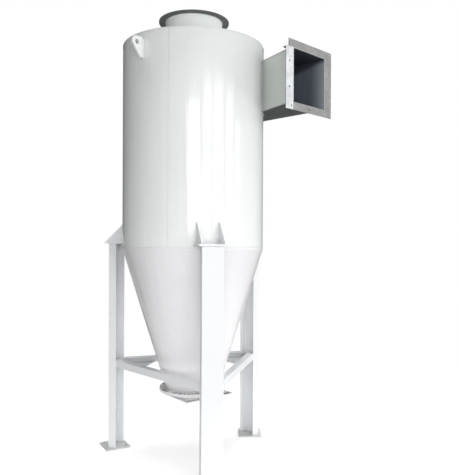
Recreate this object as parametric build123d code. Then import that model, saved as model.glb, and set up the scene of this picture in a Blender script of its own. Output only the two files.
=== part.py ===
"""Cyclone dust collector on three channel legs, built as separate welded and bolted pieces.

Millimetres.  The origin is on the cyclone's axis at floor level, +Z is up, and the inlet duct
runs out along +X, tangent to the +Y side of the barrel.
"""
from build123d import *
import os
from math import asin, atan2, cos, degrees, hypot, radians, sin, tan

# ---- barrel, roof and outlet ----
barrel_radius = 500
barrel_sheet = 4
barrel_bottom = 1500
barrel_top = 2896
roof_sheet = 4
outlet_radius = 200
outlet_wall = 4
outlet_bottom = 2300
outlet_top = 3100
outlet_flange_radius = 250
outlet_flange_thickness = 8
outlet_bolt_circle = 450
outlet_bolt_count = 12
outlet_bolt_hole = 14

# ---- cone, bolted neck flanges and discharge ----
cone_sheet = 4
cone_collar = 20
cone_bottom = 492
cone_bottom_radius = 191
neck_flange_radius = 236
neck_flange_thickness = 10
neck_bolt_circle = 426
neck_bolt_count = 8
neck_bolt_hole = 12
bolt_shank = 10
bolt_head_across = 17
bolt_head_height = 6.5
bolt_nut_height = 8
bolt_tail = 5
spout_side = 230
spout_sheet = 4
spout_turn = -6.5
plate_half_width = 140
plate_tail = 260
plate_thickness = 8
plate_bolt_half_spacing = 127.5
plate_bolt_hole = 11
tail_hole_half_spacing = 110
tail_hole_margin = 20
discharge_bottom = 420

# ---- inlet duct and its flange of angle irons ----
duct_width = 340
duct_height = 350
duct_sheet = 3
duct_end = 783
duct_floor = 2437
duct_collar = 60
duct_skew = 16
duct_tangent_start = 40
duct_opening_start = 60
frame_leg = 50
frame_side_leg = 75
frame_thickness = 5
frame_top_overlap = 45
frame_bolt_hole = 12
frame_bolt_margin = 25
corner_hole_half_spacing = 185
side_hole_half_spacing = 82.5
angle_root_radius = 5
angle_toe_radius = 2.5

# ---- lifting lugs ----
lug_thickness = 12
lug_eye_out = 54
lug_eye_z = 2819
lug_eye_radius = 38
lug_hole_radius = 16
lug_foot_z = 2724
lug_foot_width = 24
lug_corner = 12
lug_angles = {"front": -83, "back": 97}

# ---- legs, feet and brackets ----
leg_angles = {"left": 210, "right": 330, "back": 90}
leg_face_radius = 628
channel_width = 140
channel_depth = 58
channel_web = 6
channel_flange = 8
channel_root_radius = 8
channel_toe_radius = 4
foot_side = 180
foot_thickness = 10
foot_radius = 608
anchor_offset = 92
anchor_hole = 18
cap_bottom = 1512
cap_thickness = 10
cap_width = 190
cap_radius = 652
gusset_thickness = 8
gusset_offset = 74
gusset_height = 140
gusset_radius = 648
gusset_toe = 8
gusset_top_radius = 506

# ---- brace triangle between the legs ----
brace_leg = 50
brace_thickness = 5
brace_face = 343
brace_bottom = 603
corner_plate_thickness = 8
corner_plate_inner = 365

low = (Align.CENTER, Align.CENTER, Align.MIN)
duct_near = barrel_radius - duct_width
duct_ceiling = duct_floor + duct_height
duct_middle_y = barrel_radius - duct_width / 2
duct_middle_z = duct_floor + duct_height / 2
trim_inside_radius = barrel_radius - 50
brace_stock_length = 2000
leg_mouth_radius = leg_face_radius - channel_depth


def disc(radius, bottom, top):
    """An upright solid cylinder on the axis, between two heights."""
    return Pos(0, 0, bottom) * Cylinder(radius, top - bottom, align=low)


def tube(radius, wall, bottom, top):
    """An upright round shell of a given outer radius."""
    return disc(radius, bottom, top) - disc(radius - wall, bottom, top)


def block(low_corner, high_corner):
    """A box between two opposite corners."""
    size = [high - base for base, high in zip(low_corner, high_corner)]
    return Pos(*low_corner) * Box(*size, align=(Align.MIN, Align.MIN, Align.MIN))


def outline(points, roundings=()):
    """A closed face from its corners, with (corner, radius) roundings."""
    face = make_face(Polyline(*points, close=True))
    for corner, radius in roundings:
        face = fillet(face.vertices().sort_by_distance(corner)[0], radius)
    return face


def upright_plate(points, middle, thickness, roundings=()):
    """A plate in the XZ plane, given as (x, z) corners, centred on y = middle."""
    face = Plane.XZ * outline(points, roundings)
    return Pos(0, middle, 0) * extrude(face, thickness / 2, both=True)


def flat_plate(points, bottom, thickness):
    """A horizontal plate, given as (x, y) corners."""
    return Pos(0, 0, bottom) * extrude(outline(points), thickness)


# ---- barrel, roof and outlet ----
def duct_plan(inset, start):
    """The duct's outline from above: a straight collar, then a near side that closes in on the barrel."""
    near = duct_near + inset
    skew = radians(duct_skew)
    bend = duct_end - duct_collar + inset * tan(skew / 2)
    reach = (bend - trim_inside_radius * cos(skew)) / cos(skew)
    deep = (bend - reach * cos(skew), near + reach * sin(skew))
    far = barrel_radius - inset
    return [(duct_end, near), (bend, near), deep, (start, deep[1]), (start, far), (duct_end, far)]


def duct_hole():
    """The space inside the inlet duct, run through the barrel's sheet."""
    plan = duct_plan(duct_sheet, duct_opening_start)
    return flat_plate(plan, duct_floor + duct_sheet, duct_height - 2 * duct_sheet)


def barrel_shell():
    return tube(barrel_radius, barrel_sheet, barrel_bottom, barrel_top) - duct_hole()


def roof_plate():
    return tube(barrel_radius, barrel_radius - outlet_radius, barrel_top, barrel_top + roof_sheet)


def outlet_pipe():
    return tube(outlet_radius, outlet_wall, outlet_bottom, outlet_top)


def outlet_flange():
    bottom = outlet_top - outlet_flange_thickness
    ring = tube(outlet_flange_radius, outlet_flange_radius - outlet_radius, bottom, outlet_top)
    drill = Cylinder(outlet_bolt_hole / 2, outlet_flange_thickness, align=low)
    return ring - Pos(0, 0, bottom) * PolarLocations(outlet_bolt_circle / 2, outlet_bolt_count) * drill


# ---- cone and discharge spout ----
def cone_shell():
    cone_top = barrel_bottom - cone_collar
    inner = barrel_radius - cone_sheet
    profile = make_face(Polyline(
        (barrel_radius, barrel_bottom),
        (barrel_radius, cone_top),
        (cone_bottom_radius, cone_bottom),
        (cone_bottom_radius - cone_sheet, cone_bottom),
        (inner, cone_top),
        (inner, barrel_bottom),
        close=True,
    ))
    return revolve(Plane.XZ * profile, Axis.Z)


def neck_flange(top):
    """One of the two round flanges under the cone, drilled for the neck bolts, without its opening."""
    bottom = top - neck_flange_thickness
    drill = Cylinder(neck_bolt_hole / 2, neck_flange_thickness, align=low)
    ring = disc(neck_flange_radius, bottom, top)
    return ring - Pos(0, 0, bottom) * PolarLocations(neck_bolt_circle / 2, neck_bolt_count) * drill


def cone_flange():
    return neck_flange(cone_bottom) - disc(cone_bottom_radius - cone_sheet, discharge_bottom, cone_bottom)


def square_bar(side, bottom, top):
    """An upright square bar on the axis, turned like the discharge."""
    return Pos(0, 0, bottom) * Rot(0, 0, spout_turn) * Box(side, side, top - bottom, align=low)


def spout_passage():
    return square_bar(spout_side - 2 * spout_sheet, discharge_bottom, cone_bottom)


def spout_flange():
    return neck_flange(cone_bottom - neck_flange_thickness) - spout_passage()


def discharge_spout():
    bottom = discharge_bottom + plate_thickness
    return square_bar(spout_side, bottom, cone_bottom - 2 * neck_flange_thickness) - spout_passage()


def discharge_plate():
    """The bottom flange: a flat plate with a tail on one side for a slide gate's guides."""
    half = plate_half_width
    corners = [(half, -half), (half, plate_tail), (-half, plate_tail), (-half, -half)]
    plate = flat_plate(corners, 0, plate_thickness)
    drill = Cylinder(plate_bolt_hole / 2, plate_thickness, align=low)
    spread = plate_bolt_half_spacing
    tail_row = plate_tail - tail_hole_margin
    places = [(x, y) for x in (-spread, spread) for y in (-spread, spread)]
    places += [(x, tail_row) for x in (-tail_hole_half_spacing, tail_hole_half_spacing)]
    for x, y in places:
        plate -= Pos(x, y, 0) * drill
    return Pos(0, 0, discharge_bottom) * Rot(0, 0, spout_turn) * plate - spout_passage()


def neck_bolts():
    """The ring of hexagon bolts through the neck flanges, each with its nut on."""
    seam_top = cone_bottom
    seam_bottom = cone_bottom - 2 * neck_flange_thickness
    hexagon = RegularPolygon(bolt_head_across / 2, 6, major_radius=False)
    head = Pos(0, 0, seam_top) * extrude(hexagon, bolt_head_height)
    nut = Pos(0, 0, seam_bottom - bolt_nut_height) * extrude(hexagon, bolt_nut_height)
    foot = seam_bottom - bolt_nut_height - bolt_tail
    shank = Pos(0, 0, foot) * Cylinder(bolt_shank / 2, seam_top - foot, align=low)
    places = PolarLocations(neck_bolt_circle / 2, neck_bolt_count)
    return Part() + places * (head + nut + shank)


# ---- inlet flange ----
def angle_bar(face_leg, start, end, reach, holes):
    """An angle iron along Y whose back lies on x = 0, with its joint face at z = 0.

    The joint leg stands out along +X by face_leg. The other leg runs back along the duct, up +Z,
    and is cut off beyond reach either way. Holes are given as (distance out, place along).
    """
    bar = upright_plate(
        [(0, 0), (face_leg, 0), (face_leg, frame_thickness),
         (frame_thickness, frame_thickness), (frame_thickness, frame_leg), (0, frame_leg)],
        (start + end) / 2, end - start,
        [((frame_thickness, frame_thickness), angle_root_radius),
         ((face_leg, frame_thickness), angle_toe_radius),
         ((frame_thickness, frame_leg), angle_toe_radius)],
    )
    for first, last in ((start, -reach), (reach, end)):
        if last > first:
            bar -= block((0, first, frame_thickness), (face_leg, last, frame_leg))
    depth = frame_thickness + angle_root_radius
    for out, along in holes:
        bar -= Pos(out, along, 0) * Cylinder(frame_bolt_hole / 2, depth, align=low)
    return bar


def inlet_frame():
    """Four angle irons round the duct's end: the sides run down to the bottom, the top lies over both."""
    across = duct_width / 2
    upright = duct_height / 2
    side_low = upright + frame_leg
    corner_out = corner_hole_half_spacing - across
    corner_along = side_low - frame_bolt_margin
    spread = side_hole_half_spacing
    face_middle = frame_side_leg / 2
    corner = corner_hole_half_spacing
    inner = angle_bar(
        frame_side_leg, -side_low, upright, upright,
        [(face_middle, -spread), (face_middle, spread), (corner_out, -corner_along)],
    )
    outer = angle_bar(
        frame_side_leg, -upright, side_low, upright,
        [(face_middle, -spread), (face_middle, spread), (corner_out, corner_along)],
    )
    top = angle_bar(
        frame_leg, -across - frame_top_overlap, across + frame_side_leg, across + frame_side_leg,
        [(frame_bolt_margin, -corner), (frame_bolt_margin, 0), (frame_bolt_margin, corner)],
    )
    bottom = angle_bar(frame_leg, -across, across, across, [(frame_bolt_margin, 0)])
    face = Plane(origin=(duct_end, duct_middle_y, duct_middle_z), x_dir=(0, 0, 1), z_dir=(-1, 0, 0)).location
    return {
        "inlet_angle_top": face * Pos(upright, 0, 0) * top,
        "inlet_angle_outer": face * Rot(0, 0, 90) * Pos(across, 0, 0) * outer,
        "inlet_angle_bottom": face * Rot(0, 0, 180) * Pos(upright, 0, 0) * bottom,
        "inlet_angle_inner": face * Rot(0, 0, 270) * Pos(across, 0, 0) * inner,
    }


# ---- inlet duct ----
def duct_walls():
    """Top and bottom over the whole plan, a straight far side and a bent near side between them."""
    plan = duct_plan(0, duct_tangent_start)
    inner_plan = duct_plan(duct_sheet, duct_tangent_start)
    barrel = disc(barrel_radius, duct_floor, duct_ceiling)
    between = (duct_floor + duct_sheet, duct_height - 2 * duct_sheet)
    far = barrel_radius
    far_strip = [
        (duct_tangent_start, far - duct_sheet), (duct_end, far - duct_sheet),
        (duct_end, far), (duct_tangent_start, far),
    ]
    near_strip = plan[:3] + inner_plan[2::-1]
    return {
        "inlet_duct_top": flat_plate(plan, duct_ceiling - duct_sheet, duct_sheet) - barrel,
        "inlet_duct_bottom": flat_plate(plan, duct_floor, duct_sheet) - barrel,
        "inlet_duct_outer": flat_plate(far_strip, *between) - barrel,
        "inlet_duct_inner": flat_plate(near_strip, *between) - barrel,
    }


# ---- lifting lugs ----
def lifting_lug():
    """An upright plate on the +X side: a rounded eye that tapers down to a narrow foot."""
    eye = (barrel_radius + lug_eye_out, lug_eye_z)
    foot = (barrel_radius + lug_foot_width, lug_foot_z)
    run = (eye[0] - foot[0], eye[1] - foot[1])
    slope = degrees(atan2(run[1], run[0]) - asin(lug_eye_radius / hypot(*run)))
    touch_angle = radians(slope - 90)
    touch = (eye[0] + lug_eye_radius * cos(touch_angle), eye[1] + lug_eye_radius * sin(touch_angle))
    top = lug_eye_z + lug_eye_radius
    root = barrel_radius - lug_foot_width / 2
    body = upright_plate(
        [(root, lug_foot_z), foot, touch, eye, (eye[0], top),
         (barrel_radius + lug_corner, top), (barrel_radius, top - lug_corner), (root, top - lug_corner)],
        0, lug_thickness,
    )
    place = Pos(eye[0], 0, eye[1]) * Rot(90, 0, 0)
    rounding = place * Cylinder(lug_eye_radius, lug_thickness)
    hole = place * Cylinder(lug_hole_radius, lug_thickness)
    return body + rounding - hole - disc(barrel_radius, lug_foot_z, top)


# ---- legs, feet and brackets, all made for a leg on the +X side ----
def leg():
    half = channel_width / 2
    recess = half - channel_flange
    face, mouth, web = leg_face_radius, leg_mouth_radius, leg_face_radius - channel_web
    corners = [
        (mouth, -half), (face, -half), (face, half), (mouth, half),
        (mouth, recess), (web, recess), (web, -recess), (mouth, -recess),
    ]
    roundings = [((web, side * recess), channel_root_radius) for side in (-1, 1)]
    roundings += [((mouth, side * recess), channel_toe_radius) for side in (-1, 1)]
    length = cap_bottom - foot_thickness
    return Pos(0, 0, foot_thickness) * extrude(outline(corners, roundings), length)


def foot_plate():
    plate = Pos(foot_radius, 0, 0) * Rot(0, 0, 45) * Box(foot_side, foot_side, foot_thickness, align=low)
    for reach in (-anchor_offset, anchor_offset):
        plate -= Pos(foot_radius + reach, 0, 0) * Cylinder(anchor_hole / 2, foot_thickness, align=low)
    return plate


def cap_plate():
    top = cap_bottom + cap_thickness
    plate = block((trim_inside_radius, -cap_width / 2, cap_bottom), (cap_radius, cap_width / 2, top))
    return plate - disc(barrel_radius, cap_bottom, top)


def gusset(middle):
    base = cap_bottom + cap_thickness
    top = base + gusset_height
    root = trim_inside_radius
    triangle = upright_plate(
        [(root, base), (gusset_radius, base), (gusset_radius, base + gusset_toe),
         (gusset_top_radius, top), (root, top)],
        middle, gusset_thickness,
    )
    return triangle - disc(barrel_radius, base, top)


def half_width_inside_braces(radius):
    """How far sideways the inner faces of the two braces that meet at a leg are, at a radius."""
    return (brace_face - brace_thickness - radius * cos(radians(60))) / sin(radians(60))


def corner_plate():
    """A flat plate between two braces, with a tongue that reaches the leg's web."""
    wide = half_width_inside_braces(corner_plate_inner)
    narrow = half_width_inside_braces(leg_mouth_radius)
    web = leg_face_radius - channel_web
    tongue = channel_width / 2 - channel_flange - channel_root_radius
    lower_half = [
        (corner_plate_inner, -wide), (leg_mouth_radius, -narrow), (leg_mouth_radius, -tongue), (web, -tongue),
    ]
    upper_half = [(x, -y) for x, y in reversed(lower_half)]
    return flat_plate(lower_half + upper_half, brace_bottom, corner_plate_thickness)


def brace(angle):
    """An angle iron whose outer face is square to the given direction, cut off at the two legs."""
    top = brace_bottom + brace_leg
    edge = brace_face - brace_leg
    back = brace_face - brace_thickness
    under = top - brace_thickness
    bar = upright_plate(
        [(back, brace_bottom), (brace_face, brace_bottom), (brace_face, top),
         (edge, top), (edge, under), (back, under)],
        0, brace_stock_length,
        [((back, under), angle_root_radius),
         ((back, brace_bottom), angle_toe_radius),
         ((edge, under), angle_toe_radius)],
    )
    room = Pos(0, 0, brace_bottom) * extrude(
        RegularPolygon(leg_mouth_radius, 3, major_radius=False, rotation=-90), brace_leg
    )
    return (Rot(0, 0, angle) * bar) & room


def leg_group():
    """The legs, feet, brackets, corner plates and braces, by node name."""
    pieces = {}
    for name, angle in leg_angles.items():
        turn = Rot(0, 0, angle)
        pieces["leg_" + name] = turn * leg()
        pieces["foot_plate_" + name] = turn * foot_plate()
        pieces["cap_plate_" + name] = turn * cap_plate()
        pieces["gusset_" + name + "_1"] = turn * gusset(-gusset_offset)
        pieces["gusset_" + name + "_2"] = turn * gusset(gusset_offset)
        pieces["corner_plate_" + name] = turn * corner_plate()
        pieces["brace_opposite_" + name] = brace(angle + 180)
    return pieces


def all_pieces():
    pieces = {
        "barrel_shell": barrel_shell(),
        "roof_plate": roof_plate(),
        "outlet_pipe": outlet_pipe(),
        "outlet_flange": outlet_flange(),
        "cone_shell": cone_shell(),
        "cone_flange": cone_flange(),
        "spout_flange": spout_flange(),
        "discharge_spout": discharge_spout(),
        "discharge_plate": discharge_plate(),
    }
    pieces["neck_bolts"] = neck_bolts()
    for name, angle in lug_angles.items():
        pieces["lifting_lug_" + name] = Rot(0, 0, angle) * lifting_lug()
    pieces.update(duct_walls())
    pieces.update(inlet_frame())
    pieces.update(leg_group())
    return pieces


os.makedirs("parts", exist_ok=True)
for node, shape in all_pieces().items():
    export_step(shape, "parts/" + node + ".step")
    print(node, round(shape.volume / 1000), "cm3")
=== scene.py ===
"""Cyclone dust collector: materials, weld beads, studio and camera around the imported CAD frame."""
from math import acos, asin, atan2, cos, degrees, pi, radians, sin, sqrt, tan

import bpy
from mathutils import Matrix, Vector


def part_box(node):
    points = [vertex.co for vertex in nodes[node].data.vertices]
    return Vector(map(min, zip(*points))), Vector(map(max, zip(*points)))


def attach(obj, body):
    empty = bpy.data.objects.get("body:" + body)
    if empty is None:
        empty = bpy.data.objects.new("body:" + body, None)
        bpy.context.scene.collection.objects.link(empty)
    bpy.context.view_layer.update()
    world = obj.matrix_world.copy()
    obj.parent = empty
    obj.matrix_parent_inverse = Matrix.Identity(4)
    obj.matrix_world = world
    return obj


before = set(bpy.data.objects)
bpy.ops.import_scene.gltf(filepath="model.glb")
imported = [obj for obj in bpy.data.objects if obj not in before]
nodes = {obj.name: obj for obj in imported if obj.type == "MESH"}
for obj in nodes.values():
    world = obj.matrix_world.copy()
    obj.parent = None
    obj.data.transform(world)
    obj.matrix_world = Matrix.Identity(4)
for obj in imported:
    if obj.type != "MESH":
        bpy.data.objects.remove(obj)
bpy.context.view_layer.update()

# The frame is in metres: the barrel's axis stands on the origin, the inlet opens towards +X.
# Angles round the axis are in degrees from +X.
ROOT = "root"
LEG_ANGLES = {"left": 210, "right": 330, "back": 90}
INLET_SIDES = ("top", "bottom", "inner", "outer")
NECK_PIECES = ("cone_flange", "spout_flange", "discharge_spout", "discharge_plate")


# ---------------------------------------------------------------- sizes read from the frame
def high(node, axis):
    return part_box(node)[1]["xyz".index(axis)]


def low(node, axis):
    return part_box(node)[0]["xyz".index(axis)]


BARREL_R = high("barrel_shell", "x")
BARREL_LOW = low("barrel_shell", "z")
BARREL_HIGH = high("barrel_shell", "z")
ROOF_TOP = high("roof_plate", "z")
OUTLET_R = high("outlet_pipe", "x")
FLANGE_UNDERSIDE = low("outlet_flange", "z")
CONE_LOW = low("cone_shell", "z")
CONE_TOP = high("cone_shell", "z")
SPOUT_TOP = high("discharge_spout", "z")
SPOUT_LOW = low("discharge_spout", "z")
DUCT_END = high("inlet_duct_top", "x")
DUCT_NEAR = low("inlet_duct_inner", "y")
DUCT_FAR = high("inlet_duct_outer", "y")
DUCT_START = low("inlet_duct_outer", "x")
DUCT_FLOOR = low("inlet_duct_bottom", "z")
DUCT_CEILING = high("inlet_duct_top", "z")
DUCT_MIDDLE = (0.0, (DUCT_NEAR + DUCT_FAR) / 2, (DUCT_FLOOR + DUCT_CEILING) / 2)
FRAME_BACK = low("inlet_angle_inner", "x")
LUG_LOW = low("lifting_lug_front", "z")
LUG_HIGH = high("lifting_lug_front", "z")

# The back leg stands on +Y, so its boxes give every leg's radial and sideways sizes.
LEG_FACE = high("leg_back", "y")
LEG_MOUTH = low("leg_back", "y")
LEG_HALF = high("leg_back", "x")
CAP_HALF = high("cap_plate_back", "x")
CAP_LOW = low("cap_plate_back", "z")
CAP_TOP = high("cap_plate_back", "z")
GUSSET_TOP = high("gusset_back_1", "z")
GUSSET_TOE = high("gusset_back_1", "y")
GUSSET_HALF = (high("gusset_back_1", "x") - low("gusset_back_1", "x")) / 2
GUSSET_MIDDLE = abs(high("gusset_back_1", "x") + low("gusset_back_1", "x")) / 2
FOOT_TOP = high("foot_plate_back", "z")
CORNER_TOP = high("corner_plate_back", "z")
CORNER_INNER = low("corner_plate_back", "y")
BRACE_LOW = low("brace_opposite_back", "z")
BRACE_TOP = high("brace_opposite_back", "z")
BRACE_FACE = -low("brace_opposite_back", "y")

# Sizes that no box gives, the same as in the CAD source.
CONE_LOW_R = 0.191
CONE_SLOPE_TOP = CONE_TOP - 0.02
SPOUT_TURN = -6.5
SPOUT_HALF = 0.115
DUCT_BEND = DUCT_END - 0.06
DUCT_SKEW = radians(16)
BRACE_SHEET = 0.005
BRACE_BEARING = radians(60)
LUG_FRONT = -83
LUG_HALF = 0.006


def beside_leg(reach, radius):
    """How far sideways of a leg's middle a brace is, at a radius.

    The reach is the brace's own distance from the axis.
    """
    return (reach - radius * cos(BRACE_BEARING)) / sin(BRACE_BEARING)


def inside_braces(radius):
    """The same for the inner faces of the two braces at a leg."""
    return beside_leg(BRACE_FACE - BRACE_SHEET, radius)


BRACE_END = beside_leg(BRACE_FACE, LEG_MOUTH)


def near_wall_end():
    """Where the duct's skewed near wall meets the barrel, seen from above."""
    along = (-cos(DUCT_SKEW), sin(DUCT_SKEW))
    inwards = DUCT_BEND * along[0] + DUCT_NEAR * along[1]
    reach = -inwards - sqrt(inwards ** 2 - DUCT_BEND ** 2 - DUCT_NEAR ** 2 + BARREL_R ** 2)
    return DUCT_BEND + reach * along[0], DUCT_NEAR + reach * along[1]


# ---------------------------------------------------------------- shader helpers
def add(tree, kind, inputs=None, **settings):
    """A new node; an input may be a number, a colour, or another node's output socket."""
    node = tree.nodes.new(kind)
    for key, value in settings.items():
        setattr(node, key, value)
    for key, value in (inputs or {}).items():
        if isinstance(value, bpy.types.NodeSocket):
            tree.links.new(value, node.inputs[key])
        else:
            node.inputs[key].default_value = value
    return node


def math_node(tree, operation, *values):
    return add(tree, "ShaderNodeMath", dict(enumerate(values)), operation=operation).outputs[0]


def multiply(tree, first, second):
    return math_node(tree, "MULTIPLY", first, second)


def vector_math(tree, operation, *values, output=0):
    return add(tree, "ShaderNodeVectorMath", dict(enumerate(values)), operation=operation).outputs[output]


def dot_product(tree, first, second):
    return vector_math(tree, "DOT_PRODUCT", first, second, output="Value")


def position(tree):
    """The place on the object, in metres, in the shared frame."""
    return add(tree, "ShaderNodeTexCoord").outputs["Object"]


def coordinates(tree):
    """The same as three separate numbers."""
    return add(tree, "ShaderNodeSeparateXYZ", {0: position(tree)}).outputs


def surface_normal(tree):
    return add(tree, "ShaderNodeNewGeometry").outputs["Normal"]


def stretched(tree, place, scale):
    return vector_math(tree, "MULTIPLY", place, scale)


def noise(tree, place, scale, detail=2.0, roughness=0.5):
    inputs = {"Vector": place, "Scale": scale, "Detail": detail, "Roughness": roughness}
    return add(tree, "ShaderNodeTexNoise", inputs).outputs["Fac"]


def remap(tree, value, from_low, from_high, to_low=0.0, to_high=1.0):
    """Stretches one range on to another and stops at its ends."""
    inputs = {"Value": value, "From Min": from_low, "From Max": from_high}
    inputs.update({"To Min": to_low, "To Max": to_high})
    return add(tree, "ShaderNodeMapRange", inputs, clamp=True).outputs["Result"]


MIX_FACTOR, MIX_FIRST, MIX_SECOND, MIX_RESULT = 0, 6, 7, 2


def mix_colour(tree, factor, first, second, blend="MIX"):
    inputs = {MIX_FACTOR: factor, MIX_FIRST: first, MIX_SECOND: second}
    return add(tree, "ShaderNodeMix", inputs, data_type="RGBA", blend_type=blend).outputs[MIX_RESULT]


def bump(tree, height, distance, strength, normal):
    inputs = {"Height": height, "Distance": distance, "Strength": strength, "Normal": normal}
    return add(tree, "ShaderNodeBump", inputs).outputs["Normal"]


def rgba(colour, gain=1.0):
    """A colour with its alpha, lightened or darkened."""
    return tuple(min(1.0, channel * gain) for channel in colour) + (1.0,)


def new_material(name):
    material = bpy.data.materials.new(name)
    material.use_nodes = True
    tree = material.node_tree
    return material, tree, tree.nodes["Principled BSDF"]


def corner_dust_and_shade(tree, reach, lightest, darkest):
    """One in inside corners, where shade falls and dust and overspray gather, and zero in the open: a mask
    for painted corner shade.
    """
    shade = add(tree, "ShaderNodeAmbientOcclusion", {"Distance": reach}, samples=6).outputs["AO"]
    return remap(tree, shade, darkest, lightest, 1.0, 0.0)


def rounded_normal(tree, radius):
    return add(tree, "ShaderNodeBevel", {"Radius": radius}, samples=4).outputs["Normal"]


def edge_mask(tree, radius):
    """One on sharp outside edges, zero on flats: where a bevelled normal leaves the true one."""
    alike = dot_product(tree, rounded_normal(tree, radius), surface_normal(tree))
    return remap(tree, alike, 0.985, 0.85)


def inside_mask(tree, centre, directions):
    """One where the surface faces the centre line of a shell; directions are the axes across that line."""
    place = vector_math(tree, "SUBTRACT", position(tree), centre)
    outwards = vector_math(tree, "MULTIPLY", place, directions)
    facing = dot_product(tree, outwards, surface_normal(tree))
    return math_node(tree, "LESS_THAN", facing, 0.0)


# ---------------------------------------------------------------- colours, as linear light
WHITE = (0.765, 0.785, 0.775)
CONE_WHITE = (0.795, 0.785, 0.80)
NECK_WHITE = (0.80, 0.80, 0.81)
PIPE_WHITE = (0.665, 0.695, 0.69)
# Painted shade: the roof's white is darker than the barrel's, so that the overhead light does not wash it
# out.
ROOF_SHADED_WHITE = (0.58, 0.59, 0.585)
GREY_WHITE = (0.755, 0.77, 0.785)
FOOT_GREY = (0.60, 0.61, 0.61)
SAGE = (0.51, 0.54, 0.52)
# Painted shade: the duct's primer, darkened for its bottom sheet.
SAGE_SHADED = (0.10, 0.105, 0.103)
# Dark primer, made darker still as painted shade for the flange's underside.
DARK_PRIMER_AND_SHADE = (0.093, 0.098, 0.101)
PAINT_RUN = (0.55, 0.54, 0.50)
# Painted corner shade on enamel, speckled like dust.
CORNER_DUST_AND_SHADE = (0.36, 0.35, 0.32)
CHIPPED_EDGE = (0.30, 0.27, 0.24)
BRIGHT_STEEL = (0.66, 0.685, 0.70)
GREY_STEEL = (0.30, 0.295, 0.295)
ZINC = (0.78, 0.78, 0.77)
RUST = (0.30, 0.17, 0.09)
# Painted shade for steel faces turned away from the light.
SHADED_STEEL = (0.15, 0.15, 0.155)
# Painted corner shade on bare steel, with its grime.
STEEL_GRIME_AND_SHADE = (0.16, 0.15, 0.14)
SHELL_LINING = ((0.115, 0.125, 0.145), (0.17, 0.175, 0.18))
DUCT_LINING = ((0.075, 0.088, 0.118), (0.105, 0.118, 0.142))
# Painted light near the duct's mouth, and the painted shadow under its top plate.
DUCT_MOUTH_LIGHT = (0.27, 0.30, 0.325)
DUCT_PAINTED_SHADOW = (0.028, 0.033, 0.042)

# Painted light: the duct's lining is lighter from MOUTH_DEPTH to MOUTH_RIM inside its end, where light comes
# in; the painted shadow under the top plate fades out between two planes, which slope down into the duct.
MOUTH_DEPTH, MOUTH_RIM = 0.11, 0.01
SHADOW_SLOPE, SHADOW_DEPTH, SHADOW_RISE = 0.2, 0.03, 0.002

# For the inside mask: a point on the shell's centre line, and the axes across that line.
ROUND_SHELL = ((0.0, 0.0, 0.0), (1.0, 1.0, 0.0))
SQUARE_DUCT = (DUCT_MIDDLE, (0.0, 1.0, 1.0))
# The way the inlet flange's lit faces look; faces turned other ways get painted shade.
JOINT_FACE = (1.0, 0.0, 0.0)
# Height and gain at the low end of a painted shade along the height, then at its high end: lighter low down,
# darker high up.
BARREL_HEIGHT_SHADE = (BARREL_LOW, 1.03, BARREL_HIGH, 0.89)
CONE_HEIGHT_SHADE = (CONE_LOW, 1.07, CONE_TOP, 0.97)


# ---------------------------------------------------------------- materials
def rolled_sheet_height(tree):
    """Upright bands left by the plate rolls, with long shallow waves along each band."""
    x, y, z = coordinates(tree)
    around = math_node(tree, "ARCTAN2", y, x)
    sheet = add(tree, "ShaderNodeCombineXYZ", {"X": multiply(tree, around, BARREL_R), "Z": z}).outputs[0]
    bands = noise(tree, stretched(tree, sheet, (1.0, 1.0, 0.05)), scale=22.0, detail=1.5, roughness=0.45)
    waves = noise(tree, stretched(tree, sheet, (1.0, 1.0, 0.5)), scale=6.0)
    return math_node(tree, "ADD", bands, multiply(tree, waves, 1.1))


def two_tone_steel(tree, runs, tones):
    return mix_colour(tree, remap(tree, runs, 0.35, 0.7), rgba(tones[0]), rgba(tones[1]))


def bare_lining(tree, runs):
    """The unpainted inside of a shell."""
    return two_tone_steel(tree, runs, SHELL_LINING)


def duct_lining(tree, runs):
    """Bluish mill steel, with painted light near the mouth and a painted shadow under the top plate."""
    x, _, z = coordinates(tree)
    steel = two_tone_steel(tree, runs, DUCT_LINING)
    # Painted light near the mouth.
    mouth = remap(tree, x, DUCT_END - MOUTH_DEPTH, DUCT_END - MOUTH_RIM)
    steel = mix_colour(tree, mouth, steel, rgba(DUCT_MOUTH_LIGHT))
    # Painted shadow under the top plate.
    level = math_node(tree, "SUBTRACT", z, multiply(tree, x, SHADOW_SLOPE))
    ceiling = DUCT_CEILING - SHADOW_SLOPE * DUCT_END
    painted_shadow = remap(tree, level, ceiling - SHADOW_DEPTH, ceiling + SHADOW_RISE)
    return mix_colour(tree, painted_shadow, steel, rgba(DUCT_PAINTED_SHADOW))


def shaded_along_height(tree, tone, low_z, low_gain, high_z, high_gain):
    """Painted shade: the coat made lighter towards one end of its height and darker towards the other, as the
    light falls.
    """
    gain = remap(tree, coordinates(tree)["Z"], low_z, high_z, low_gain, high_gain)
    shade = add(tree, "ShaderNodeCombineColor", {"Red": gain, "Green": gain, "Blue": gain}).outputs[0]
    return mix_colour(tree, 1.0, tone, shade, "MULTIPLY")


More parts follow.
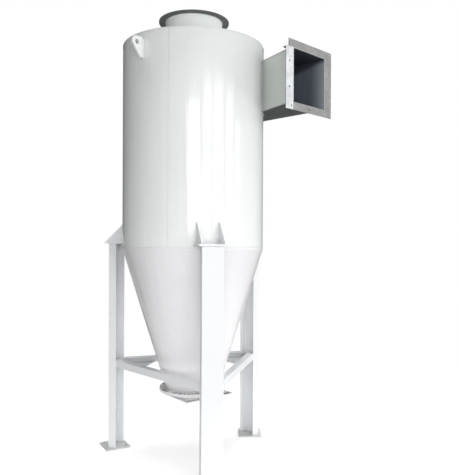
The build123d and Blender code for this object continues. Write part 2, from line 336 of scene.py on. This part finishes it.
def enamel(name, colour, roughness, sheet=False, wear=0.0, inside=None, grime_and_shade=0.5, lining=bare_lining,
           shine=0.5, height_shade=None):
    """Sprayed enamel: orange peel, faint runs, corner grime with painted corner shade, optional rolled bands
    and worn edges, and an optional painted shade along its height.
    """
    material, tree, shader = new_material(name)
    place = position(tree)
    clouds = noise(tree, place, scale=2.3, detail=3.0, roughness=0.55)
    runs = noise(tree, stretched(tree, place, (26.0, 26.0, 1.6)), scale=1.0, detail=4.0, roughness=0.6)
    specks = noise(tree, place, scale=70.0, detail=5.0, roughness=0.7)
    tone = mix_colour(tree, remap(tree, clouds, 0.3, 0.7), rgba(colour, 0.965), rgba(colour, 1.015))
    # Painted shade along the height.
    if height_shade:
        tone = shaded_along_height(tree, tone, *height_shade)
    tone = mix_colour(tree, remap(tree, runs, 0.56, 0.78, 0.0, 0.10), tone, rgba(PAINT_RUN))
    # Painted shade: ambient occlusion darkens inside corners, speckled like dust.
    corners = corner_dust_and_shade(tree, reach=0.035, lightest=0.92, darkest=0.35)
    dust_and_corner_shade = multiply(tree, corners, remap(tree, specks, 0.35, 0.6))
    tone = mix_colour(tree, multiply(tree, dust_and_corner_shade, grime_and_shade), tone, rgba(CORNER_DUST_AND_SHADE))
    gloss = remap(tree, clouds, 0.25, 0.75, roughness * 0.85, roughness * 1.2)
    if wear:
        flakes = remap(tree, noise(tree, place, scale=38.0, detail=6.0, roughness=0.7), 0.52, 0.60)
        chips = multiply(tree, multiply(tree, edge_mask(tree, radius=0.0025), flakes), wear)
        tone = mix_colour(tree, chips, tone, rgba(CHIPPED_EDGE))
        gloss = math_node(tree, "ADD", gloss, multiply(tree, chips, 0.2))
    if inside:
        mask = inside_mask(tree, *inside)
        tone = mix_colour(tree, mask, tone, lining(tree, runs))
        gloss = math_node(tree, "ADD", gloss, multiply(tree, mask, 0.25))
    peel = noise(tree, place, scale=210.0)
    normal = rounded_normal(tree, radius=0.0015)
    if sheet:
        normal = bump(tree, rolled_sheet_height(tree), distance=0.0022, strength=1.0, normal=normal)
    normal = bump(tree, peel, distance=0.00035, strength=0.25, normal=normal)
    tree.links.new(tone, shader.inputs["Base Color"])
    tree.links.new(gloss, shader.inputs["Roughness"])
    tree.links.new(normal, shader.inputs["Normal"])
    shader.inputs["Specular IOR Level"].default_value = shine
    return material


def bare_steel(name, colour, rust, metallic, face=None, grime_and_shade=0.5):
    """Steel with soft mottling, drawn streaks and rust freckles.

    With a face given, whatever looks another way is darkened: painted shade.
    """
    material, tree, shader = new_material(name)
    place = position(tree)
    mottle = noise(tree, place, scale=14.0, detail=5.0, roughness=0.65)
    streaks = noise(tree, stretched(tree, place, (120.0, 9.0, 9.0)), scale=1.0, detail=3.0, roughness=0.6)
    freckles = remap(tree, noise(tree, place, scale=52.0, detail=6.0, roughness=0.72), 0.60, 0.68)
    patches = remap(tree, noise(tree, place, scale=6.0, detail=3.0, roughness=0.6), 0.48, 0.66)
    stain = multiply(tree, multiply(tree, freckles, patches), rust)
    tone = mix_colour(tree, remap(tree, mottle, 0.3, 0.7), rgba(colour, 0.78), rgba(colour, 1.14))
    tone = mix_colour(tree, remap(tree, streaks, 0.45, 0.75, 0.0, 0.25), tone, rgba(colour, 0.72))
    tone = mix_colour(tree, stain, tone, rgba(RUST))
    # Painted shade on the faces turned away from the given face.
    if face:
        turned_to = dot_product(tree, surface_normal(tree), face)
        tone = mix_colour(tree, remap(tree, turned_to, 0.7, 0.3), tone, rgba(SHADED_STEEL))
    # Painted shade: ambient occlusion darkens inside corners, with grime.
    dirt_and_shade = corner_dust_and_shade(tree, reach=0.02, lightest=0.9, darkest=0.4)
    tone = mix_colour(tree, multiply(tree, dirt_and_shade, grime_and_shade), tone, rgba(STEEL_GRIME_AND_SHADE))
    clean_metal = math_node(tree, "SUBTRACT", metallic, multiply(tree, stain, metallic))
    tree.links.new(tone, shader.inputs["Base Color"])
    tree.links.new(remap(tree, mottle, 0.25, 0.75, 0.34, 0.52), shader.inputs["Roughness"])
    tree.links.new(clean_metal, shader.inputs["Metallic"])
    shader.inputs["Specular IOR Level"].default_value = 0.15
    grain = noise(tree, place, scale=160.0, detail=4.0, roughness=0.6)
    rounded = rounded_normal(tree, radius=0.001)
    normal = bump(tree, grain, distance=0.0004, strength=0.35, normal=rounded)
    tree.links.new(normal, shader.inputs["Normal"])
    return material


def paint_frame():
    """Every CAD node keeps its shape and gets its finished material."""
    barrel_paint = enamel(
        "barrel_enamel", WHITE, roughness=0.095, sheet=True, inside=ROUND_SHELL, height_shade=BARREL_HEIGHT_SHADE
    )
    cone_paint = enamel(
        "cone_enamel", CONE_WHITE, roughness=0.16, sheet=True, inside=ROUND_SHELL, height_shade=CONE_HEIGHT_SHADE
    )
    roof_paint = enamel("roof_enamel", ROOF_SHADED_WHITE, roughness=0.4)
    pipe_paint = enamel("pipe_enamel", PIPE_WHITE, roughness=0.3, wear=0.3, inside=ROUND_SHELL)
    lug_paint = enamel("lug_enamel", WHITE, roughness=0.32, wear=0.6)
    frame_paint = enamel("frame_enamel", GREY_WHITE, roughness=0.36, wear=0.6, grime_and_shade=0.35)
    neck_paint = enamel(
        "neck_enamel", NECK_WHITE, roughness=0.32, wear=0.3, inside=ROUND_SHELL, grime_and_shade=0.12
    )
    foot_paint = enamel("foot_enamel", FOOT_GREY, roughness=0.5, wear=1.0, grime_and_shade=0.9)
    lined_duct = {"inside": SQUARE_DUCT, "lining": duct_lining, "wear": 0.5}
    duct_paint = enamel("duct_primer", SAGE, roughness=0.45, **lined_duct)
    # Painted shade: the duct's bottom sheet gets the same primer as its sides, much darker, as if in shade.
    shaded_underside = enamel("duct_primer_shaded", SAGE_SHADED, roughness=0.75, shine=0.03, **lined_duct)
    flange_paint = enamel("outlet_flange_primer_and_shade", DARK_PRIMER_AND_SHADE, roughness=0.7, wear=0.8, shine=0.1)
    bright = bare_steel("ground_steel", BRIGHT_STEEL, rust=0.1, metallic=0.05, face=JOINT_FACE)
    steel = bare_steel("mill_steel", GREY_STEEL, rust=0.9, metallic=0.05, face=JOINT_FACE)
    zinc = bare_steel("zinc_bolts", ZINC, rust=0.2, metallic=0.1, grime_and_shade=0.12)
    choice = {
        "barrel_shell": barrel_paint, "cone_shell": cone_paint, "roof_plate": roof_paint,
        "outlet_pipe": pipe_paint, "outlet_flange": flange_paint, "neck_bolts": zinc,
    }
    choice.update({name: neck_paint for name in NECK_PIECES})
    choice.update({"lifting_lug_" + side: lug_paint for side in ("front", "back")})
    choice.update({"inlet_duct_" + side: duct_paint for side in INLET_SIDES})
    choice.update({"inlet_angle_" + side: steel for side in INLET_SIDES})
    choice.update({"foot_plate_" + name: foot_paint for name in LEG_ANGLES})
    choice["inlet_duct_bottom"] = shaded_underside
    choice["inlet_angle_inner"] = bright
    for name, node in nodes.items():
        node.data.materials.clear()
        node.data.materials.append(choice.get(name, frame_paint))
    return {"body": barrel_paint, "lug": lug_paint, "frame": frame_paint, "duct": duct_paint}


# ---------------------------------------------------------------- weld beads
RIPPLE = 0.007
STATIONS_PER_RIPPLE = 2
BEAD_SIDES = 8
END_SIZE = 0.35
# Where the sheets' upright seams are, and how far the round seam sits above the joint, as a factor.
BARREL_SEAM = -60
CONE_SEAM = 75
GIRTH_LIFT = 1.0005
# Beads stop short of corners and edges by these lengths.
SEAM_TRIM_LOW, SEAM_TRIM_HIGH = 0.006, 0.004
LUG_TRIM_LOW, LUG_TRIM_HIGH = 0.004, 0.014
GUSSET_TRIM = 0.004
# The stitches behind the inlet flange: their length, and their places as shares of the duct's width.
STITCH_LENGTH = 0.045
STITCH_PLACES = (0.12, 0.5, 0.88)

# Each bead's half-width and height. Fillets are as high as they are wide, butt seams are flatter.
OUTLET_FILLET = (0.0055, 0.0055)
DUCT_FILLET = (0.005, 0.005)
FRAME_FILLET = (0.0045, 0.0045)
FILLET = (0.004, 0.004)
TIE_FILLET = (0.0035, 0.0035)
HIDDEN_FILLET = (0.003, 0.003)
FOLD_FILLET = (0.0018, 0.0018)
GIRTH_SEAM = (0.0045, 0.0018)
ROOF_SEAM = (0.003, 0.0014)
SHEET_SEAM = (0.0035, 0.0007)


def step_count(length):
    return max(3, round(length / RIPPLE * STATIONS_PER_RIPPLE))


def turned(x, y, angle):
    return x * cos(angle) - y * sin(angle), x * sin(angle) + y * cos(angle)


def line(start, end, outward):
    """Evenly spaced stations along a straight seam: places, with the way the bead bulges."""
    start, end, outward = Vector(start), Vector(end), Vector(outward)
    count = step_count((end - start).length)
    return [(start.lerp(end, step / count), outward) for step in range(count + 1)]


def arc(radius, z, first, last, rise):
    """Stations round the axis at one height, between two angles; rise tips the bulge up or down."""
    count = step_count(abs(radians(last - first)) * radius)
    angles = [radians(first + (last - first) * step / count) for step in range(count + 1)]
    return [(Vector((radius * cos(a), radius * sin(a), z)), Vector((cos(a), sin(a), rise))) for a in angles]


def spun(path, angle):
    """The same path turned about the axis by an angle."""
    turn = Matrix.Rotation(radians(angle), 3, "Z")
    return [(turn @ place, turn @ outward) for place, outward in path]


def unevenness(step):
    """Each ripple's size: even and odd stations differ, with a slow drift along the run."""
    ridge = 1.0 if step % 2 else 0.80
    return ridge * (1.0 + 0.07 * sin(step * 0.37) + 0.05 * sin(step * 1.13 + 2.0))


def sweep(verts, faces, path, across, bulge):
    """Adds one rippled bead to a mesh in the making; across is its half-width, bulge its height."""
    closed = (path[0][0] - path[-1][0]).length < 1e-6
    stations = path[:-1] if closed else path
    count = len(stations)
    first = len(verts)
    for step, (place, outward) in enumerate(stations):
        ahead = stations[(step + 1) % count][0] if closed or step < count - 1 else place
        behind = stations[step - 1][0] if closed or step else place
        along = (ahead - behind).normalized()
        up = (outward - outward.dot(along) * along).normalized()
        side = along.cross(up)
        size = unevenness(step)
        if not closed and step in (0, count - 1):
            size = END_SIZE
        for corner in range(BEAD_SIDES):
            angle = 2 * pi * corner / BEAD_SIDES
            verts.append(place + size * (across * cos(angle) * side + bulge * sin(angle) * up))
    rings = count if closed else count - 1
    for ring in range(rings):
        here = first + ring * BEAD_SIDES
        there = first + (ring + 1) % count * BEAD_SIDES
        for corner in range(BEAD_SIDES):
            after = (corner + 1) % BEAD_SIDES
            faces.append((here + corner, there + corner, there + after, here + after))
    if not closed:
        faces.append([first + corner for corner in range(BEAD_SIDES)])
        end = first + (count - 1) * BEAD_SIDES
        faces.append([end + corner for corner in reversed(range(BEAD_SIDES))])


def weld(name, material, beads):
    """One piece made of several beads, each a path, its half-width and its height."""
    verts, faces = [], []
    for path, across, bulge in beads:
        sweep(verts, faces, path, across, bulge)
    mesh = bpy.data.meshes.new(name)
    mesh.from_pydata([tuple(vert) for vert in verts], [], faces)
    mesh.polygons.foreach_set("use_smooth", [True] * len(mesh.polygons))
    mesh.materials.append(material)
    piece = bpy.data.objects.new(name, mesh)
    bpy.context.scene.collection.objects.link(piece)
    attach(piece, ROOT)


def spout_outline(z, rise):
    """Round the outside of the square spout at one height."""
    side = line((SPOUT_HALF, -SPOUT_HALF, z), (SPOUT_HALF, SPOUT_HALF, z), (1, 0, rise))
    return [spun(side, SPOUT_TURN + 90 * quarter) for quarter in range(4)]


def barrel_welds(material):
    girth_z = GIRTH_LIFT * CONE_TOP
    weld("weld_girth", material, [(arc(BARREL_R, girth_z, 0, 360, 0), *GIRTH_SEAM)])
    weld("weld_roof_edge", material, [(arc(BARREL_R, BARREL_HIGH, 0, 360, 0.3), *ROOF_SEAM)])
    seam_low = (BARREL_R, 0, BARREL_LOW + SEAM_TRIM_LOW)
    seam_high = (BARREL_R, 0, BARREL_HIGH - SEAM_TRIM_HIGH)
    seam = line(seam_low, seam_high, (1, 0, 0))
    weld("weld_barrel_seam", material, [(spun(seam, BARREL_SEAM), *SHEET_SEAM)])
    cone_seam = line((BARREL_R, 0, CONE_SLOPE_TOP), (CONE_LOW_R, 0, CONE_LOW), (1, 0, -0.3))
    weld("weld_cone_seam", material, [(spun(cone_seam, CONE_SEAM), *SHEET_SEAM)])
    weld("weld_outlet", material, [
        (arc(OUTLET_R, ROOF_TOP, 0, 360, 1), *OUTLET_FILLET),
        (arc(OUTLET_R, FLANGE_UNDERSIDE, 0, 360, -1), *FRAME_FILLET),
    ])
    neck = [(arc(CONE_LOW_R, CONE_LOW, 0, 360, 1), *FRAME_FILLET)]
    neck += [(path, *FILLET) for path in spout_outline(SPOUT_TOP, -1) + spout_outline(SPOUT_LOW, 1)]
    weld("weld_neck", material, neck)


def duct_joint_beads(near):
    """Round the duct where it meets the barrel; near is the end of its near wall, seen from above."""
    near_angle = degrees(atan2(near[1], near[0]))
    far_angle = degrees(acos(DUCT_START / BARREL_R))
    far_low = (DUCT_START, DUCT_FAR, DUCT_FLOOR)
    far_high = (DUCT_START, DUCT_FAR, DUCT_CEILING)
    return [
        (line((*near, DUCT_FLOOR), (*near, DUCT_CEILING), (0.35, -1, 0)), *DUCT_FILLET),
        (arc(BARREL_R, DUCT_FLOOR, near_angle, far_angle, -1), *HIDDEN_FILLET),
        (arc(BARREL_R, DUCT_CEILING, near_angle, far_angle, 1), *DUCT_FILLET),
        (line(far_low, far_high, (-1, 0.3, 0)), *HIDDEN_FILLET),
    ]


def duct_corner_beads(near):
    """Along the four long corners between the duct's sheets."""
    bend = (DUCT_BEND, DUCT_NEAR)
    beads = []
    for z, rise in ((DUCT_FLOOR, -1), (DUCT_CEILING, 1)):
        beads.append((line((*near, z), (*bend, z), (-0.3, -1, rise)), *FOLD_FILLET))
        beads.append((line((*bend, z), (FRAME_BACK, DUCT_NEAR, z), (0, -1, rise)), *FOLD_FILLET))
        beads.append((line((DUCT_START, DUCT_FAR, z), (FRAME_BACK, DUCT_FAR, z), (0, 1, rise)), *FOLD_FILLET))
    return beads


def duct_stitch_beads():
    """Short beads behind the inlet flange, three on each side of the duct."""
    half = STITCH_LENGTH / 2
    beads = []
    for share in STITCH_PLACES:
        y = DUCT_NEAR + share * (DUCT_FAR - DUCT_NEAR)
        z = DUCT_FLOOR + share * (DUCT_CEILING - DUCT_FLOOR)
        for level, rise in ((DUCT_FLOOR, -1), (DUCT_CEILING, 1)):
            path = line((FRAME_BACK, y - half, level), (FRAME_BACK, y + half, level), (-1, 0, rise))
            beads.append((path, *FILLET))
        for side, out in ((DUCT_NEAR, -1), (DUCT_FAR, 1)):
            path = line((FRAME_BACK, side, z - half), (FRAME_BACK, side, z + half), (-1, out, 0))
            beads.append((path, *FILLET))
    return beads


def duct_welds(material):
    near = near_wall_end()
    weld("weld_duct_to_barrel", material, duct_joint_beads(near))
    weld("weld_duct_corners", material, duct_corner_beads(near))
    weld("weld_duct_stitches", material, duct_stitch_beads())


def lug_welds(material):
    """Up both sides of each lug and under its lower end."""
    z_low = LUG_LOW + LUG_TRIM_LOW
    z_high = LUG_HIGH - LUG_TRIM_HIGH
    foot = line((BARREL_R, -LUG_HALF, z_low), (BARREL_R, LUG_HALF, z_low), (1, 0, -1))
    for name, angle in (("front", LUG_FRONT), ("back", LUG_FRONT + 180)):
        beads = []
        for side in (-1, 1):
            t = side * LUG_HALF
            upright = line((BARREL_R, t, z_low), (BARREL_R, t, z_high), (1, side, 0))
            beads.append((spun(upright, angle), *FRAME_FILLET))
        beads.append((spun(foot, angle), *FILLET))
        weld("weld_lug_" + name, material, beads)


# The beads of a leg are laid out on +X, with y sideways, and spun to each leg's angle.
def channel_beads(z, rise):
    """Round the outside of the leg's channel at one height, from flange tip to flange tip."""
    corners = [(LEG_MOUTH, -LEG_HALF), (LEG_FACE, -LEG_HALF), (LEG_FACE, LEG_HALF), (LEG_MOUTH, LEG_HALF)]
    outwards = [(0, -1, rise), (1, 0, rise), (0, 1, rise)]
    return [
        (line((*corners[run], z), (*corners[run + 1], z), outwards[run]), *FRAME_FILLET) for run in range(3)
    ]


def bracket_beads():
    """The cap plate to the barrel, both gussets to both of those, and the cap plate to the leg."""
    span = degrees(asin(CAP_HALF / BARREL_R))
    edges = ((CAP_TOP, 1), (CAP_LOW, -1))
    beads = [(arc(BARREL_R, z, -span, span, rise), *FRAME_FILLET) for z, rise in edges]
    for side in (-1, 1):
        for face in (-1, 1):
            t = side * GUSSET_MIDDLE + face * GUSSET_HALF
            root = sqrt(BARREL_R ** 2 - t ** 2)
            upright = line((root, t, CAP_TOP), (root, t, GUSSET_TOP - GUSSET_TRIM), (1, face, 0))
            flat = line((root, t, CAP_TOP), (GUSSET_TOE, t, CAP_TOP), (0, face, 1))
            beads += [(upright, *FILLET), (flat, *FILLET)]
    return beads + channel_beads(CAP_LOW, -1)


def brace_beads():
    """The ends of the two braces to the leg, and the corner plate to both braces."""
    beads = []
    for side in (-1, 1):
        end = side * BRACE_END
        upright = line((LEG_MOUTH, end, BRACE_LOW), (LEG_MOUTH, end, BRACE_TOP), (-0.3, side, 0))
        inner = (CORNER_INNER, side * inside_braces(CORNER_INNER), CORNER_TOP)
        outer = (LEG_MOUTH, side * inside_braces(LEG_MOUTH), CORNER_TOP)
        beads += [(upright, *FILLET), (line(inner, outer, (-0.5, -side, 1)), *TIE_FILLET)]
    return beads


def leg_welds(material):
    joints = {"bracket": bracket_beads(), "foot": channel_beads(FOOT_TOP, 1), "braces": brace_beads()}
    for name, angle in LEG_ANGLES.items():
        for joint, beads in joints.items():
            placed = [(spun(path, angle), *size) for path, *size in beads]
            weld("weld_" + joint + "_" + name, material, placed)


# ---------------------------------------------------------------- studio and camera
# Fitted to the photograph. Lengths are in metres, the lens and its sensor in millimetres.
CAMERA_DISTANCE = 4.1118
CAMERA_HEIGHT = 1.5825
CAMERA_TURN = radians(48.59)
CAMERA_YAW = radians(3.655)
CAMERA_PITCH = radians(-0.298)
CAMERA_ROLL = radians(0.28)
CAMERA_LENS = 43.21
SENSOR = 36.0


def make_camera():
    """Eye-level view, a little to the left of square on to the right leg."""
    forward = Vector((
        *turned(sin(CAMERA_YAW) * cos(CAMERA_PITCH), cos(CAMERA_YAW) * cos(CAMERA_PITCH), CAMERA_TURN),
        sin(CAMERA_PITCH),
    ))
    level = Vector((*turned(cos(CAMERA_YAW), -sin(CAMERA_YAW), CAMERA_TURN), 0.0))
    upright = level.cross(forward)
    right = cos(CAMERA_ROLL) * level + sin(CAMERA_ROLL) * upright
    up = -sin(CAMERA_ROLL) * level + cos(CAMERA_ROLL) * upright
    data = bpy.data.cameras.new("camera")
    data.lens = CAMERA_LENS
    data.sensor_width = SENSOR
    camera = bpy.data.objects.new("camera", data)
    bpy.context.scene.collection.objects.link(camera)
    place = Vector((*turned(0.0, -CAMERA_DISTANCE, CAMERA_TURN), CAMERA_HEIGHT))
    camera.matrix_world = Matrix.Translation(place) @ Matrix((right, up, -forward)).transposed().to_4x4()
    bpy.context.scene.camera = camera


def soft_light(name, bearing, distance, height, aim_height, width, tall, power, mirrored=False):
    """A rectangular light aimed at the axis; its bearing is in degrees to the right of the camera's.

    Shiny paint mirrors it only when asked, so that the soft fill lights leave no hard rectangles.
    """
    data = bpy.data.lights.new(name, "AREA")
    data.shape = "RECTANGLE"
    data.size = width
    data.size_y = tall
    data.energy = power
    light = bpy.data.objects.new(name, data)
    light.visible_glossy = mirrored
    bpy.context.scene.collection.objects.link(light)
    angle = CAMERA_TURN + radians(bearing)
    light.location = (*turned(0.0, -distance, angle), height)
    aim = Vector((0.0, 0.0, aim_height)) - light.location
    light.rotation_euler = aim.to_track_quat("-Z", "Y").to_euler()


# Each pane: its first and last bearing, its top, the height of the bar across it, and its radiance.
WINDOW_DISTANCE = 6.0
WINDOW_SILL = 1.6
WINDOW_BAR = 0.065
WINDOW_PANES = (
    (-11, 10.5, 3.78, 2.62, 5.9),
    (14.5, 27, 4.07, 2.94, 4.9),
    (31, 46, 4.12, 2.99, 3.9),
    (50.5, 62.5, 3.97, 2.93, 3.1),
    (67, 75, 3.75, 2.81, 2.6),
)


def window_pane(name, first, last, bottom, top, radiance):
    """One upright pane of the tall workshop window; its power follows from its size."""
    middle = (first + last) / 2
    width = 2 * WINDOW_DISTANCE * tan(radians((last - first) / 2))
    height = (bottom + top) / 2
    tall = top - bottom
    power = radiance * width * tall * pi
    soft_light(name, middle, WINDOW_DISTANCE, height, height, width, tall, power, mirrored=True)


def make_window():
    for index, (first, last, top, bar, radiance) in enumerate(WINDOW_PANES):
        name = "pane_" + str(index)
        window_pane(name + "_low", first, last, WINDOW_SILL, bar - WINDOW_BAR, radiance)
        window_pane(name + "_high", first, last, bar + WINDOW_BAR, top, radiance)


# Each soft light: name, bearing, distance, height, height aimed at, width, height of its panel, power.
SOFT_LIGHTS = (
    ("overhead", 0, 0.01, 8.0, 0.0, 6.0, 6.0, 560),
    ("low_left", -75, 6.0, 0.85, 1.6, 4.6, 1.5, 32),
    ("low_near_left", -30, 6.0, 0.85, 1.6, 4.6, 1.5, 54),
    ("low_front", 15, 6.0, 0.85, 1.6, 4.6, 1.5, 100),
    ("low_right", 105, 6.0, 0.85, 1.6, 4.6, 1.5, 125),
    ("back_right", 150, 6.0, 2.4, 1.8, 5.0, 4.0, 155),
    ("back_left", -150, 6.0, 2.4, 1.8, 5.0, 4.0, 30),
    ("high_right", 105, 6.0, 4.8, 2.0, 6.5, 3.3, 110),
    ("side_right", 75, 6.0, 2.44, 2.2, 3.2, 1.7, 24),
)


def make_lights():
    make_window()
    for light in SOFT_LIGHTS:
        soft_light(*light)


DIM_SKY = 0.03


def make_world():
    """White where the camera looks past the object, a dim even sky for everything else."""
    world = bpy.data.worlds.new("studio")
    bpy.context.scene.world = world
    world.use_nodes = True
    tree = world.node_tree
    seen = add(tree, "ShaderNodeLightPath").outputs["Is Camera Ray"]
    background = tree.nodes["Background"]
    background.inputs["Color"].default_value = (1.0, 1.0, 1.0, 1.0)
    tree.links.new(remap(tree, seen, 0.0, 1.0, DIM_SKY, 1.0), background.inputs["Strength"])


FLOOR_RADIUS = 9.0
FLOOR_SIDES = 96
FLOOR_TONE = (0.86, 0.86, 0.86, 1.0)
FLOOR_GLOW = 0.32
FLOOR_OPACITY = 0.75
FLOOR_FADE = (1.0, 3.6)


def make_floor():
    """A pale floor that fades out into the white backdrop; it glows faintly, as in a bright room."""
    mesh = bpy.data.meshes.new("floor")
    angles = [2 * pi * step / FLOOR_SIDES for step in range(FLOOR_SIDES)]
    ring = [(FLOOR_RADIUS * cos(angle), FLOOR_RADIUS * sin(angle), 0.0) for angle in angles]
    mesh.from_pydata(ring, [], [list(range(FLOOR_SIDES))])
    floor = bpy.data.objects.new("floor", mesh)
    bpy.context.scene.collection.objects.link(floor)
    material, tree, shader = new_material("pale_floor")
    shader.inputs["Base Color"].default_value = FLOOR_TONE
    shader.inputs["Emission Color"].default_value = (1.0, 1.0, 1.0, 1.0)
    shader.inputs["Emission Strength"].default_value = FLOOR_GLOW
    shader.inputs["Roughness"].default_value = 0.85
    reach = vector_math(tree, "LENGTH", position(tree), output="Value")
    tree.links.new(remap(tree, reach, *FLOOR_FADE, FLOOR_OPACITY, 0.0), shader.inputs["Alpha"])
    mesh.materials.append(material)


paint = paint_frame()
barrel_welds(paint["body"])
duct_welds(paint["duct"])
lug_welds(paint["lug"])
leg_welds(paint["frame"])
make_camera()
make_lights()
make_world()
make_floor()
bpy.context.scene.view_settings.view_transform = "Standard"
